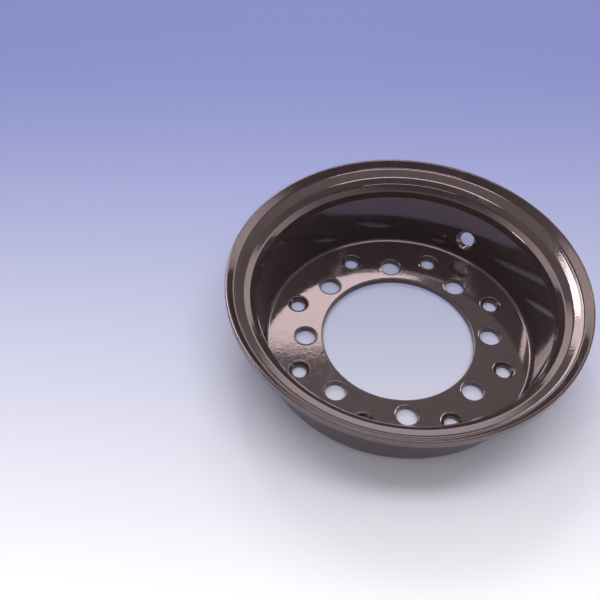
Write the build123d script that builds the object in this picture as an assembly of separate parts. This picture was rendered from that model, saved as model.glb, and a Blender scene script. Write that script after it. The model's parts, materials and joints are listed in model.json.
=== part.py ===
"""One half of a divided wheel rim for a forklift truck, in millimetres.

A single steel plate is formed into a dish: a flat bolting disc, a tapered drum that
seats the tyre, and a rolled flange that ends in an upturned lip, trimmed true.

The wheel's axis is Z. The flat mating face, where this half meets the other half of
the wheel, lies at z = 0, and +Z points to the open side. One stud hole lies on +X.
"""
import os
from math import cos, radians, sin, tan

from build123d import *

# The plate and the dish as a whole
plate_thickness = 7.5
rim_depth = 99.5
seat_diameter = 303.0
flange_height = 34.5

# The drum: its sides open by the taper, and the foot fold joins them to the disc
drum_taper = 8.0
foot_fold = 8.0

# The flange: it rolls out of the drum, climbs to a gutter and turns up into the lip
flange_fold = 26.0
flange_slope = 11.5
gutter_fold = 5.0
lip_angle = 49.0
lip_rise = 7.5
lip_land = 2.3
lip_chamfer = 1.2

# The centre bore, which clears the hub
bore_diameter = 166.0
bore_chamfer = 0.8

# The stud holes, which take the wheel studs
stud_count = 8
stud_circle_diameter = 203.0
stud_hole = 23.0

# The clamp holes, which take the countersunk bolts that hold the two halves together
clamp_count = 8
clamp_circle_diameter = 236.0
clamp_hole = 16.0
clamp_sink = 21.0

# The valve hole, drilled through the drum
valve_hole = 25.0
valve_height = 33.0
valve_angle = 54.0

# How far a cutting tool runs past the face it cuts
overrun = 2.0


def open_side():
    """The dish's open-side surface from the bore to past the lip, as a line of r and z."""
    seat_radius = seat_diameter / 2
    rim_radius = seat_radius + flange_height
    taper = tan(radians(drum_taper))
    slope = tan(radians(flange_slope))

    # The drum's inside lies one plate thickness in from the tapered seat
    inside_at_floor = seat_radius - plate_thickness / cos(radians(drum_taper))
    foot_radius = inside_at_floor + plate_thickness * taper

    gutter_radius = rim_radius - lip_land - lip_rise / tan(radians(lip_angle))
    gutter_height = rim_depth - lip_rise

    # The drum and the flange, both drawn on straight, meet at the crown
    level_radius = inside_at_floor + gutter_height * taper
    flange_run = (gutter_radius - level_radius) / (1 - slope * taper)
    crown_radius = gutter_radius - flange_run
    crown_height = gutter_height - flange_run * slope

    # The lip runs on past the rim, to be trimmed there
    lip_length = lip_rise / sin(radians(lip_angle)) + lip_land + plate_thickness
    lip_end_radius = gutter_radius + lip_length * cos(radians(lip_angle))
    lip_end_height = gutter_height + lip_length * sin(radians(lip_angle))

    # The crown's roll is held to the length of flange that the gutter's fold leaves
    gutter_turn = radians(lip_angle - flange_slope)
    gutter_room = gutter_fold * tan(gutter_turn / 2)
    flange_length = flange_run / cos(radians(flange_slope))
    crown_turn = radians(90 - drum_taper - flange_slope)
    crown_fold = min(flange_fold, (flange_length - gutter_room) / tan(crown_turn / 2) - overrun / 4)

    return FilletPolyline(
        (bore_diameter / 2, plate_thickness),
        (foot_radius, plate_thickness),
        (crown_radius, crown_height),
        (gutter_radius, gutter_height),
        (lip_end_radius, lip_end_height),
        radius=(foot_fold, crown_fold, gutter_fold),
    )


def dish_section():
    """Half of the dish's section, with its lip trimmed and its edges broken, as a face of r and z."""
    rim_radius = seat_diameter / 2 + flange_height
    outline = offset(open_side(), amount=plate_thickness, side=Side.RIGHT, closed=True)
    trim = Rectangle(rim_radius, rim_depth, align=(Align.MIN, Align.MIN))
    section = make_face(outline.edges()) & trim

    bore_corners = section.vertices().group_by(Axis.X)[0]
    section = chamfer(bore_corners, bore_chamfer)

    lip_corner = section.vertices().group_by(Axis.Y)[-1].sort_by(Axis.X)[-1]
    return chamfer(lip_corner, lip_chamfer)


def disc_hole(diameter, sink_diameter):
    """The space of a hole through the disc, opened at 45 degrees to its sink on the open side."""
    radius = diameter / 2
    sink_radius = sink_diameter / 2
    half = Polyline(
        (0, -overrun),
        (radius, -overrun),
        (radius, plate_thickness - (sink_radius - radius)),
        (sink_radius + overrun, plate_thickness + overrun),
        (0, plate_thickness + overrun),
        close=True,
    )
    return revolve(Plane.XZ * make_face(half), axis=Axis.Z)


def valve_space():
    """The space of the valve hole, a straight drilling along a radius through the drum."""
    wall_radius = seat_diameter / 2 + valve_height * tan(radians(drum_taper))
    wall_reach = plate_thickness / cos(radians(drum_taper)) + valve_hole * tan(radians(drum_taper))
    drilling = Cylinder(
        valve_hole / 2,
        2 * wall_reach,
        rotation=(0, 90, 0),
    )
    return Rot(0, 0, valve_angle) * Pos(wall_radius - plate_thickness / 2, 0, valve_height) * drilling


# The formed dish, then its holes
rim_half = revolve(Plane.XZ * dish_section(), axis=Axis.Z)

stud_space = Cylinder(stud_hole / 2, 2 * (plate_thickness + overrun))
rim_half -= PolarLocations(stud_circle_diameter / 2, stud_count) * stud_space

clamp_space = disc_hole(clamp_hole, clamp_sink)
half_step = 180 / clamp_count
rim_half -= PolarLocations(clamp_circle_diameter / 2, clamp_count, start_angle=half_step) * clamp_space

rim_half -= valve_space()

os.makedirs("parts", exist_ok=True)
export_step(rim_half, "parts/rim_half.step")
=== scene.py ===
import json
import math

import bmesh
import bpy
from mathutils import Matrix, Vector


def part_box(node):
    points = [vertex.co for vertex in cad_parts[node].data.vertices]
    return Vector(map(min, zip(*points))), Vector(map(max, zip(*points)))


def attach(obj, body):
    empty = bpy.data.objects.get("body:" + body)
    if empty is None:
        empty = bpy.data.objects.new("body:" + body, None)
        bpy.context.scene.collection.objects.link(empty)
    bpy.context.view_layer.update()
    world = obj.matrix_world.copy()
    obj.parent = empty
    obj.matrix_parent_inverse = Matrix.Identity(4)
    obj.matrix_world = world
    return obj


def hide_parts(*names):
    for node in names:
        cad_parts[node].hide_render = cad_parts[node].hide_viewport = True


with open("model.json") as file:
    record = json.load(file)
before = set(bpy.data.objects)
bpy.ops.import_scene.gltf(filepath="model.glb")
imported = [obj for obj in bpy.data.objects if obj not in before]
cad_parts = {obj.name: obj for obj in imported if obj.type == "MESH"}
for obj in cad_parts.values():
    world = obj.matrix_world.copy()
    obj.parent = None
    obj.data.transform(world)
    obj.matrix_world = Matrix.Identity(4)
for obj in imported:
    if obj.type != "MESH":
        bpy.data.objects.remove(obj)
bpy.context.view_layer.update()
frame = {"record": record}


# The rim half: one steel plate, spun and pressed into a dish with a flat bolting disc, a
# tapered drum and a rolled flange with an upturned lip, then drilled, countersunk and
# dipped in glossy black-brown enamel. It lies on its flat mating face.
mm = 0.001
mounts = {mount["name"]: mount for mount in frame["record"]["mounts"]}
low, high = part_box("rim_half")
rim_radius = min(high.x, high.y, -low.x, -low.y)
rim_depth = high.z
plate = 2 * mounts["stud_holes"]["pos_m"][2]
bore_radius = mounts["centre_bore"]["dims"]["r_mm"] * mm
edge_round = 0.7 * mm

# A narrow band beside each rounded edge keeps the edge's shading off the flats
rest_band = 0.7 * mm

# The section's open side, from the drum's foot to the lip
drum_taper = math.radians(8.0)
seat_radius = 151.5 * mm
flange_slope = math.radians(11.5)
lip_angle = math.radians(49.0)
lip_rise = 7.5 * mm
lip_land = 2.3 * mm
foot_fold_inside = 3.5 * mm
foot_fold_outside = 15.5 * mm
roll_radius = 26.0 * mm
roll_flats = 4
roll_crease = 7.0 * mm
gutter_fold = 5.0 * mm
lip_round = 1.2 * mm

drum_inside = seat_radius - plate / math.cos(drum_taper)
foot = Vector((drum_inside + plate * math.tan(drum_taper), plate))
gutter = Vector((rim_radius - lip_land - lip_rise / math.tan(lip_angle), rim_depth - lip_rise))
drum_at_gutter = drum_inside + gutter.y * math.tan(drum_taper)
flange_run = (gutter.x - drum_at_gutter) / (1 - math.tan(flange_slope) * math.tan(drum_taper))
crown = gutter - Vector((flange_run, flange_run * math.tan(flange_slope)))
lip_way = Vector((math.cos(lip_angle), math.sin(lip_angle)))


def corner_arc(before, corner, after, radius):
    """Points of the arc that rounds a corner of the section, from one side to the other."""
    largest_turn = math.radians(5)
    back = (before - corner).normalized()
    ahead = (after - corner).normalized()
    half = math.acos(max(-1.0, min(1.0, back.dot(ahead)))) / 2
    reach = radius / math.tan(half)
    centre = corner + (back + ahead).normalized() * (radius / math.sin(half))
    start = corner + back * reach - centre
    turn = math.pi - 2 * half
    side = 1 if start.x * ahead.y - start.y * ahead.x > 0 else -1
    steps = max(2, math.ceil(turn / largest_turn))
    points = []
    for step in range(steps + 1):
        angle = side * turn * step / steps
        cosine = math.cos(angle)
        sine = math.sin(angle)
        across = cosine * start.x - sine * start.y
        along = sine * start.x + cosine * start.y
        points.append(centre + Vector((across, along)))
    return points


def rounded_path(corners):
    """A path through corners of (point, radius), with arcs at its corners and even steps between."""
    longest_step = 6.0 * mm
    path = [corners[0][0]]
    for index in range(1, len(corners) - 1):
        corner, radius = corners[index]
        if radius:
            path += corner_arc(corners[index - 1][0], corner, corners[index + 1][0], radius)
        else:
            path.append(corner)
    path.append(corners[-1][0])
    stepped = [path[0]]
    for first, second in zip(path, path[1:]):
        run = (second - first).length
        if run > 3 * rest_band:
            middle = run - 2 * rest_band
            steps = max(1, math.ceil(middle / longest_step))
            for step in range(steps + 1):
                share = (rest_band + middle * step / steps) / run
                stepped.append(first.lerp(second, share))
        stepped.append(second)
    return stepped


def shifted(points, distance):
    """The inner corners of a line, moved by a distance to the tyre's side."""
    normals = []
    for first, second in zip(points, points[1:]):
        way = (second - first).normalized()
        normals.append(Vector((way.y, -way.x)))
    moved = []
    for index in range(1, len(points) - 1):
        both = normals[index - 1] + normals[index]
        moved.append(points[index] + both * (2 * distance / both.length_squared))
    return moved


# The flat of the disc ends a little short of the folds at the foot
disc_edge = Vector((foot.x - foot_fold_outside / 2 - 2 * rest_band, plate))

# The roll between drum and flange was spun in flats, whose corners lie on its arc
smooth_roll = corner_arc(foot, crown, gutter, roll_radius)
roll_start = smooth_roll[0]
roll_end = smooth_roll[-1]
roll_centre = roll_start + Vector((math.cos(drum_taper), -math.sin(drum_taper))) * roll_radius
first_angle = math.atan2(roll_start.y - roll_centre.y, roll_start.x - roll_centre.x)
last_angle = math.atan2(roll_end.y - roll_centre.y, roll_end.x - roll_centre.x)
roll_corners = []
for flat in range(roll_flats + 1):
    angle = first_angle + (last_angle - first_angle) * flat / roll_flats
    roll_corners.append(roll_centre + Vector((math.cos(angle), math.sin(angle))) * roll_radius)

# The tyre's side lies one plate thickness away, and the lip's end is trimmed at the rim
past_lip = gutter + lip_way * (lip_rise + plate)
foot_back, crown_back, gutter_back = shifted([disc_edge, foot, crown, gutter, past_lip], plate)
lip_foot = gutter_back + lip_way * ((rim_radius - gutter_back.x) / lip_way.x)

outer_corners = [(disc_edge, 0), (foot, foot_fold_inside)]
outer_corners += [(corner, roll_crease) for corner in roll_corners]
outer_corners += [
    (gutter, gutter_fold),
    (Vector((rim_radius - lip_land, rim_depth)), lip_round),
    (Vector((rim_radius, rim_depth)), lip_round),
    (lip_foot, lip_round / 2),
    (gutter_back, gutter_fold + plate),
    (crown_back, roll_radius - plate),
    (foot_back, foot_fold_outside),
    (Vector((disc_edge.x, 0)), 0),
]
outer_path = rounded_path(outer_corners)

# Each hole's edge on the open side carries a bead of enamel, drawn up as it dried
bead_width = 1.8 * mm
bead_height = 0.2 * mm


def hole_path(radius, sink_radius):
    """A hole's profile of radius and height from the open side down, opened at 45 degrees to its sink."""
    corners = [
        (Vector((sink_radius + bead_width + rest_band, plate)), 0),
        (Vector((sink_radius + bead_width, plate)), bead_width / 2),
        (Vector((sink_radius + bead_width / 2, plate + bead_height)), bead_width / 2),
        (Vector((sink_radius, plate)), edge_round),
    ]
    if sink_radius > radius:
        corners.append((Vector((radius, plate - (sink_radius - radius))), edge_round))
    corners += [
        (Vector((radius, 0)), edge_round),
        (Vector((radius + edge_round + rest_band, 0)), 0),
    ]
    return rounded_path(corners)


bore_path = hole_path(bore_radius, bore_radius)
stud_ring = mounts["stud_holes"]["dims"]["pcd_mm"] / 2 * mm
stud_radius = mounts["stud_holes"]["dims"]["hole_r_mm"] * mm
stud_path = hole_path(stud_radius, stud_radius)
clamp_ring = mounts["clamp_holes"]["dims"]["pcd_mm"] / 2 * mm
clamp_radius = mounts["clamp_holes"]["dims"]["hole_r_mm"] * mm
clamp_sink = 10.5 * mm
clamp_path = hole_path(clamp_radius, clamp_sink)

# The valve hole runs along a radius through the drum. Round it the drum's grid gives way to a
# frame that is this many hole radii from the middle to its sides and to its top.
frame_width = 1.9
frame_height = 2.2
valve_place = Vector(mounts["valve_hole"]["pos_m"])
valve_radius = mounts["valve_hole"]["dims"]["r_mm"] * mm
valve_angle = math.atan2(valve_place.y, valve_place.x)

# The dish is made of like sectors, each with one stud hole and one clamp hole
sector_count = mounts["stud_holes"]["dims"]["count"]
sector_angle = 2 * math.pi / sector_count
sector_start = -sector_angle / 4
columns = 26
hole_steps = 48


def polar(radius, angle, height):
    """A point by its radius, angle and height."""
    return Vector((radius * math.cos(angle), radius * math.sin(angle), height))


def sector_angles(turn):
    """The angles of a sector's columns, from one side to the other."""
    return [turn + sector_start + sector_angle * column / columns for column in range(columns + 1)]


def hole_ring(centre, radius, height):
    """The points of a circle round a hole's centre."""
    return [centre + polar(radius, 2 * math.pi * step / hole_steps, height) for step in range(hole_steps)]


def add_grid(mesh, rows, closed=False, skip=lambda row, column: False):
    """Faces between rows of points; closed joins each row's end to its start."""
    vertices = [[mesh.verts.new(point) for point in row] for row in rows]
    for row in range(len(rows) - 1):
        count = len(rows[row])
        for column in range(count if closed else count - 1):
            if skip(row, column):
                continue
            after = (column + 1) % count
            mesh.faces.new((vertices[row][column], vertices[row][after],
                            vertices[row + 1][after], vertices[row + 1][column]))


def add_hole(mesh, centre, path):
    """The wall of a hole through the disc, from one face to the other."""
    add_grid(mesh, [hole_ring(centre, point.x, point.y) for point in path], closed=True)


def add_disc_face(mesh, height, turn, bore_edge, hole_rings):
    """One flat face of the disc's sector, filled between its outline and its holes."""
    side_steps = 8
    angles = sector_angles(turn)
    radii = [bore_edge + (disc_edge.x - bore_edge) * step / side_steps for step in range(side_steps + 1)]
    outline = [polar(bore_edge, angle, height) for angle in angles]
    outline += [polar(radius, angles[-1], height) for radius in radii[1:-1]]
    outline += [polar(disc_edge.x, angle, height) for angle in reversed(angles)]
    outline += [polar(radius, angles[0], height) for radius in reversed(radii[1:-1])]
    edges = []
    for loop in [outline] + [hole_ring(centre, radius, height) for centre, radius in hole_rings]:
        vertices = [mesh.verts.new(point) for point in loop]
        for index, vertex in enumerate(vertices):
            edges.append(mesh.edges.new((vertex, vertices[(index + 1) % len(vertices)])))
    bmesh.ops.triangle_fill(mesh, use_beauty=True, use_dissolve=False, edges=edges)


def drum_radius(height, thickness):
    """The drum's radius at a height: its inside, or its outside one plate thickness on."""
    return drum_inside + height * math.tan(drum_taper) + thickness / math.cos(drum_taper)


def on_drum(across, height, thickness):
    """A point of the drum beside the valve hole, by its distance across the hole's axis."""
    ahead = math.sqrt(drum_radius(height, thickness) ** 2 - across ** 2)
    axis = polar(1, valve_angle, 0)
    return axis * ahead + Vector((-axis.y, axis.x, 0)) * across + Vector((0, 0, height))


def add_valve_face(mesh, outline, thickness):
    """The drum round the valve hole, from a frame of grid points in to the hole's edge."""
    ring_steps = 7
    crowding = 0.7
    axis = polar(1, valve_angle, 0)
    centre = Vector((0, valve_place.z))
    flats = [Vector((point.y * axis.x - point.x * axis.y, point.z)) for point in outline]
    ways = [(flat - centre).normalized() for flat in flats]
    rows = []
    for step in range(ring_steps + 1):
        share = (step / ring_steps) ** crowding
        row = []
        for flat, way in zip(flats, ways):
            hole = centre + way * (valve_radius + edge_round + rest_band)
            spot = flat.lerp(hole, share)
            row.append(on_drum(spot.x, spot.y, thickness))
        rows.append(row)
    add_grid(mesh, rows, closed=True)
    return ways


def add_valve_wall(mesh, ring_ways):
    """The drilled wall of the valve hole, with rounded edges, between the drum's two faces."""
    round_steps = 5
    axis = polar(1, valve_angle, 0)
    edge = [(rest_band + edge_round, 0)]
    for step in range(round_steps + 1):
        angle = math.pi / 2 * step / round_steps
        edge.append((edge_round * (1 - math.sin(angle)), edge_round * (1 - math.cos(angle))))
    rows = []
    for thickness, inwards in ((0, 1), (plate, -1)):
        side = []
        for out, deep in edge:
            row = []
            for way in ring_ways[thickness]:
                spot = way * (valve_radius + out)
                point = on_drum(spot.x, spot.y + valve_place.z, thickness)
                row.append(point + axis * deep * inwards)
            side.append(row)
        rows += side if inwards == 1 else side[::-1]
    add_grid(mesh, rows, closed=True)


def dish_sector(name, number, with_valve):
    """One sector of the dish, with a stud hole and a clamp hole, and the valve hole if it has it."""
    line_gap = 0.01 * mm
    weld_gap = 0.001 * mm
    mesh = bmesh.new()
    turn = number * sector_angle
    angles = sector_angles(turn)
    outer_rows = [[polar(point.x, angle, point.y) for angle in angles] for point in outer_path]

    # The columns and the straight rows of the drum, inside and outside, that the valve hole takes
    half_width = frame_width * valve_radius / valve_place.xy.length
    valve_columns = [column for column, angle in enumerate(angles) if abs(angle - valve_angle) < half_width]
    drum_rows = {0: [], plate: []}
    for row, point in enumerate(outer_path):
        for thickness, rows in drum_rows.items():
            away = abs(point.x - drum_radius(point.y, thickness))
            if away < line_gap and point.y < valve_place.z + frame_height * valve_radius:
                rows.append(row)
    row_count = min(len(rows) for rows in drum_rows.values())
    drum_rows = {0: drum_rows[0][:row_count], plate: drum_rows[plate][-row_count:]}

    def in_valve_face(row, column):
        """Whether a face of the grid makes way for the frame round the valve hole."""
        in_columns = valve_columns[0] <= column < valve_columns[-1]
        return in_columns and any(rows[0] <= row < rows[-1] for rows in drum_rows.values())

    if with_valve:
        add_grid(mesh, outer_rows, skip=in_valve_face)
        ring_ways = {}
        for thickness, rows in drum_rows.items():
            first, last = valve_columns[0], valve_columns[-1]
            outline = [outer_rows[rows[0]][column] for column in range(first, last)]
            outline += [outer_rows[row][last] for row in range(rows[0], rows[-1])]
            outline += [outer_rows[rows[-1]][column] for column in range(last, first, -1)]
            outline += [outer_rows[row][first] for row in range(rows[-1], rows[0], -1)]
            if thickness == plate:
                outline.reverse()
            ring_ways[thickness] = add_valve_face(mesh, outline, thickness)
        add_valve_wall(mesh, ring_ways)
    else:
        add_grid(mesh, outer_rows)
    add_grid(mesh, [[polar(point.x, angle, point.y) for angle in angles] for point in bore_path])

    stud_centre = polar(stud_ring, turn, 0)
    clamp_centre = polar(clamp_ring, turn + sector_angle / 2, 0)
    add_hole(mesh, stud_centre, stud_path)
    add_hole(mesh, clamp_centre, clamp_path)
    for end, height in ((0, plate), (-1, 0)):
        hole_rings = [(stud_centre, stud_path[end].x), (clamp_centre, clamp_path[end].x)]
        add_disc_face(mesh, height, turn, bore_path[end].x, hole_rings)
    bmesh.ops.remove_doubles(mesh, verts=mesh.verts[:], dist=weld_gap)
    data = bpy.data.meshes.new(name)
    mesh.to_mesh(data)
    mesh.free()
    return data


def add_node(tree, kind, links=None, **settings):
    """One node with its settings, and with values or links at its inputs."""
    made = tree.nodes.new(kind)
    for name, value in settings.items():
        setattr(made, name, value)
    for name, value in (links or {}).items():
        if isinstance(value, bpy.types.NodeSocket):
            tree.links.new(value, made.inputs[name])
        else:
            made.inputs[name].default_value = value
    return made


def linear(hex_colour):
    """An sRGB hex colour as linear red, green, blue and alpha."""
    parts = [int(hex_colour[place:place + 2], 16) / 255 for place in (1, 3, 5)]
    return [part / 12.92 if part <= 0.04045 else ((part + 0.055) / 1.055) ** 2.4 for part in parts] + [1]


# Enamel over steel, dipped and stoved: a hard clear gloss over a plum-black body, whose
# surface stands in fine orange peel and lies in slow waves left by the spinning
enamel = bpy.data.materials.new("black_brown_enamel")
enamel.use_nodes = True
tree = enamel.node_tree
tree.nodes.clear()
place = add_node(tree, "ShaderNodeTexCoord").outputs["Object"]
peel_width = 3.2 * mm
peel_depth = 0.06 * mm
wave_width = 30.0 * mm
wave_depth = 0.12 * mm
mottle_width = 9.0 * mm

# A Mix node's two colours and its mixed colour, by the places of their sockets
mix_first = 6
mix_second = 7
mix_result = 2

mottle = add_node(tree, "ShaderNodeTexNoise", {"Vector": place, "Scale": 1 / mottle_width, "Detail": 3.0})
body = add_node(tree, "ShaderNodeMix", {
    "Factor": mottle.outputs["Fac"],
    mix_first: linear("#2E2627"),
    mix_second: linear("#3A3031"),
}, data_type="RGBA")
gloss = add_node(tree, "ShaderNodeMapRange", {
    "Value": mottle.outputs["Fac"],
    "From Min": 0.3,
    "From Max": 0.7,
    "To Min": 0.05,
    "To Max": 0.11,
})
waves = add_node(tree, "ShaderNodeTexNoise", {"Vector": place, "Scale": 1 / wave_width, "Detail": 1.0})
wavy = add_node(tree, "ShaderNodeBump", {
    "Height": waves.outputs["Fac"],
    "Strength": 0.5,
    "Distance": wave_depth,
})
peel = add_node(tree, "ShaderNodeTexNoise", {"Vector": place, "Scale": 1 / peel_width, "Detail": 2.0})
peeled = add_node(tree, "ShaderNodeBump", {
    "Height": peel.outputs["Fac"],
    "Strength": 0.6,
    "Distance": peel_depth,
    "Normal": wavy.outputs["Normal"],
})
paint = add_node(tree, "ShaderNodeBsdfPrincipled", {
    "Base Color": body.outputs[mix_result],
    "Roughness": gloss.outputs["Result"],
    "IOR": 1.8,
    "Specular Tint": linear("#FFDFE4"),
    "Normal": peeled.outputs["Normal"],
    "Coat Weight": 0.2,
    "Coat Roughness": 0.04,
    "Coat IOR": 1.5,
    "Coat Normal": peeled.outputs["Normal"],
})
add_node(tree, "ShaderNodeOutputMaterial", {"Surface": paint.outputs["BSDF"]})

# The plain sector is repeated round the axis, and the one with the valve hole joins it
seam_gap = 0.005 * mm
valve_sector = math.floor((valve_angle - sector_start) / sector_angle)
dish = bpy.data.objects.new("rim_half_enamelled", dish_sector("plain_sector", 0, False))
valve_piece = bpy.data.objects.new("valve_sector", dish_sector("valve_sector", valve_sector, True))
bpy.context.scene.collection.objects.link(dish)
bpy.context.scene.collection.objects.link(valve_piece)

ring_tree = bpy.data.node_groups.new("sectors_round_the_axis", "GeometryNodeTree")
ring_inputs = {}
for label, kind in (("Plain sector", "NodeSocketGeometry"), ("Valve sector", "NodeSocketObject"),
                    ("Sectors", "NodeSocketInt"), ("First", "NodeSocketInt"),
                    ("Step", "NodeSocketFloat"), ("Finish", "NodeSocketMaterial")):
    socket = ring_tree.interface.new_socket(label, in_out="INPUT", socket_type=kind)
    ring_inputs[label] = socket.identifier
ring_tree.interface.new_socket("Dish", in_out="OUTPUT", socket_type="NodeSocketGeometry")
given = add_node(ring_tree, "NodeGroupInput").outputs
plain_count = add_node(ring_tree, "ShaderNodeMath", {0: given["Sectors"], 1: 1.0}, operation="SUBTRACT")
points = add_node(ring_tree, "GeometryNodePoints", {"Count": plain_count.outputs[0]})
index = add_node(ring_tree, "GeometryNodeInputIndex")
number = add_node(ring_tree, "ShaderNodeMath", {0: index.outputs[0], 1: given["First"]}, operation="ADD")
turned = add_node(ring_tree, "ShaderNodeMath", {
    0: number.outputs[0],
    1: given["Step"],
}, operation="MULTIPLY")
turn = add_node(ring_tree, "ShaderNodeCombineXYZ", {"Z": turned.outputs[0]})
round_axis = add_node(ring_tree, "GeometryNodeInstanceOnPoints", {
    "Points": points.outputs[0],
    "Instance": given["Plain sector"],
    "Rotation": turn.outputs[0],
})
valve_part = add_node(ring_tree, "GeometryNodeObjectInfo", {"Object": given["Valve sector"]})
together = add_node(ring_tree, "GeometryNodeJoinGeometry")
ring_tree.links.new(round_axis.outputs[0], together.inputs[0])
ring_tree.links.new(valve_part.outputs["Geometry"], together.inputs[0])
real = add_node(ring_tree, "GeometryNodeRealizeInstances", {"Geometry": together.outputs[0]})
welded = add_node(ring_tree, "GeometryNodeMergeByDistance", {
    "Geometry": real.outputs[0],
    "Distance": seam_gap,
})
smooth = add_node(ring_tree, "GeometryNodeSetShadeSmooth", {"Geometry": welded.outputs[0]})
finished = add_node(ring_tree, "GeometryNodeSetMaterial", {
    "Geometry": smooth.outputs[0],
    "Material": given["Finish"],
})
add_node(ring_tree, "NodeGroupOutput", {"Dish": finished.outputs[0]})

ring = dish.modifiers.new("sectors", "NODES")
ring.node_group = ring_tree
for label, value in (("Valve sector", valve_piece), ("Sectors", sector_count), ("First", valve_sector + 1),
                     ("Step", sector_angle), ("Finish", enamel)):
    ring[ring_inputs[label]] = value
bpy.context.view_layer.update()
whole = bpy.data.meshes.new_from_object(dish.evaluated_get(bpy.context.evaluated_depsgraph_get()))
dish.modifiers.remove(ring)
bpy.data.objects.remove(valve_piece)
closed = bmesh.new()
closed.from_mesh(whole)
bmesh.ops.recalc_face_normals(closed, faces=closed.faces[:])
closed.to_mesh(whole)
closed.free()
whole.name = "rim_half_enamelled"
dish.data = whole
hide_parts("rim_half")
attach(dish, "root")


# The floor: a plain pale sheet that the dish lies on. It is paper white in front and
# shades to a pale blue at the back.
floor_half = 4.0
shade_far = 0.63
shade_near = -0.28
shade_curve = 2.0
floor_mesh = bpy.data.meshes.new("floor")
floor_mesh.from_pydata(
    [(x * floor_half, y * floor_half, 0) for x, y in ((-1, -1), (1, -1), (1, 1), (-1, 1))],
    [],
    [(0, 1, 2, 3)],
)
floor = bpy.data.objects.new("floor", floor_mesh)
bpy.context.scene.collection.objects.link(floor)
paper = bpy.data.materials.new("pale_paper")
paper.use_nodes = True
tree = paper.node_tree
tree.nodes.clear()
place = add_node(tree, "ShaderNodeTexCoord").outputs["Object"]
depth = add_node(tree, "ShaderNodeSeparateXYZ", {"Vector": place}).outputs["Y"]
nearness = add_node(tree, "ShaderNodeMapRange", {
    "Value": depth,
    "From Min": shade_far,
    "From Max": shade_near,
    "To Min": 0.0,
    "To Max": 1.0,
})
clearing = add_node(tree, "ShaderNodeMath", {
    0: nearness.outputs["Result"],
    1: shade_curve,
}, operation="POWER")
shade = add_node(tree, "ShaderNodeMix", {
    "Factor": clearing.outputs["Value"],
    mix_first: linear("#7A82BC"),
    mix_second: linear("#F2F2F6"),
}, data_type="RGBA")
sheet = add_node(tree, "ShaderNodeBsdfPrincipled", {
    "Base Color": shade.outputs[mix_result],
    "Roughness": 0.6,
    "Specular IOR Level": 0.2,
})
add_node(tree, "ShaderNodeOutputMaterial", {"Surface": sheet.outputs["BSDF"]})
floor_mesh.materials.append(paper)


# The light: a studio sky with a bright band low down and a dim one above it, which the
# rolled flange shows as rings. It is dimmer in front, which leaves the outside dark. Soft
# boxes behind and overhead lie in the gloss as patches and as thin lines along the creases.
sky_white = linear("#FFFAFA")

# The sky's levels, by elevation in degrees
sky_levels = {0: 0.45, 6: 0.85, 10: 1.0, 22: 1.0, 27: 0.2, 42: 0.17, 53: 0.26, 90: 0.33}
sky = bpy.data.worlds.new("studio")
sky.use_nodes = True
tree = sky.node_tree
tree.nodes.clear()
way = add_node(tree, "ShaderNodeTexCoord").outputs["Generated"]
parts = add_node(tree, "ShaderNodeSeparateXYZ", {"Vector": way}).outputs
bands = add_node(tree, "ShaderNodeValToRGB", {"Fac": parts["Z"]})
front = add_node(tree, "ShaderNodeMapRange", {
    "Value": parts["Y"],
    "From Min": -0.5,
    "From Max": 0.2,
    "To Min": 0.7,
    "To Max": 2.2,
})
ramp = bands.color_ramp
ramp.elements.remove(ramp.elements[1])
ramp.elements[0].position = 0.0
for elevation, level in sky_levels.items():
    stop = ramp.elements[0] if elevation == 0 else ramp.elements.new(math.sin(math.radians(elevation)))
    stop.color = [level * part for part in sky_white[:3]] + [1]
glow = add_node(tree, "ShaderNodeBackground", {
    "Color": bands.outputs["Color"],
    "Strength": front.outputs["Result"],
})
add_node(tree, "ShaderNodeOutputWorld", {"Surface": glow.outputs["Background"]})
bpy.context.scene.world = sky

# The soft boxes, each with its place, its two sides in metres and its watts
for name, spot, wide, deep, watts in (
    ("box_far_behind", (-0.59, 2.42, 3.2), 0.4, 0.9, 14),
    ("box_behind", (0.08, 1.45, 1.6), 0.6, 0.5, 5),
    ("strip_overhead", (0.0, -0.15, 2.0), 1.8, 0.45, 17),
    ("strip_front", (0.0, -1.2, 1.8), 1.8, 0.25, 6),
    ("box_low_left", (-2.0, -0.2, 0.36), 0.4, 0.3, 5),
):
    lamp = bpy.data.lights.new(name, "AREA")
    lamp.shape = "RECTANGLE"
    lamp.size = wide
    lamp.size_y = deep
    lamp.energy = watts
    lamp_object = bpy.data.objects.new(name, lamp)
    lamp_object.location = spot
    lamp_object.rotation_euler = (-Vector(spot)).to_track_quat("-Z", "Y").to_euler()
    bpy.context.scene.collection.objects.link(lamp_object)


# The camera stands in front of the dish and looks down into it, turned and rolled a little,
# so that the dish lies to the right in the picture.
eye = Vector((-0.1344, -0.5471, 0.7296))
look_turn = math.radians(2.62)
look_down = math.radians(50.37)
roll = math.radians(2.30)
ahead = Vector((
    math.sin(look_turn) * math.cos(look_down),
    math.cos(look_turn) * math.cos(look_down),
    -math.sin(look_down),
))
level = Vector((math.cos(look_turn), -math.sin(look_turn), 0))
upright = level.cross(ahead)
right = level * math.cos(roll) + upright * math.sin(roll)
up = upright * math.cos(roll) - level * math.sin(roll)
camera = bpy.data.cameras.new("camera")
camera.sensor_fit = "HORIZONTAL"
camera.sensor_width = 36.0
camera.lens = 49.70
camera_object = bpy.data.objects.new("camera", camera)
camera_object.matrix_world = Matrix.Translation(eye) @ Matrix((right, up, -ahead)).transposed().to_4x4()
bpy.context.scene.collection.objects.link(camera_object)
bpy.context.scene.camera = camera_object
bpy.context.scene.view_settings.view_transform = "Standard"
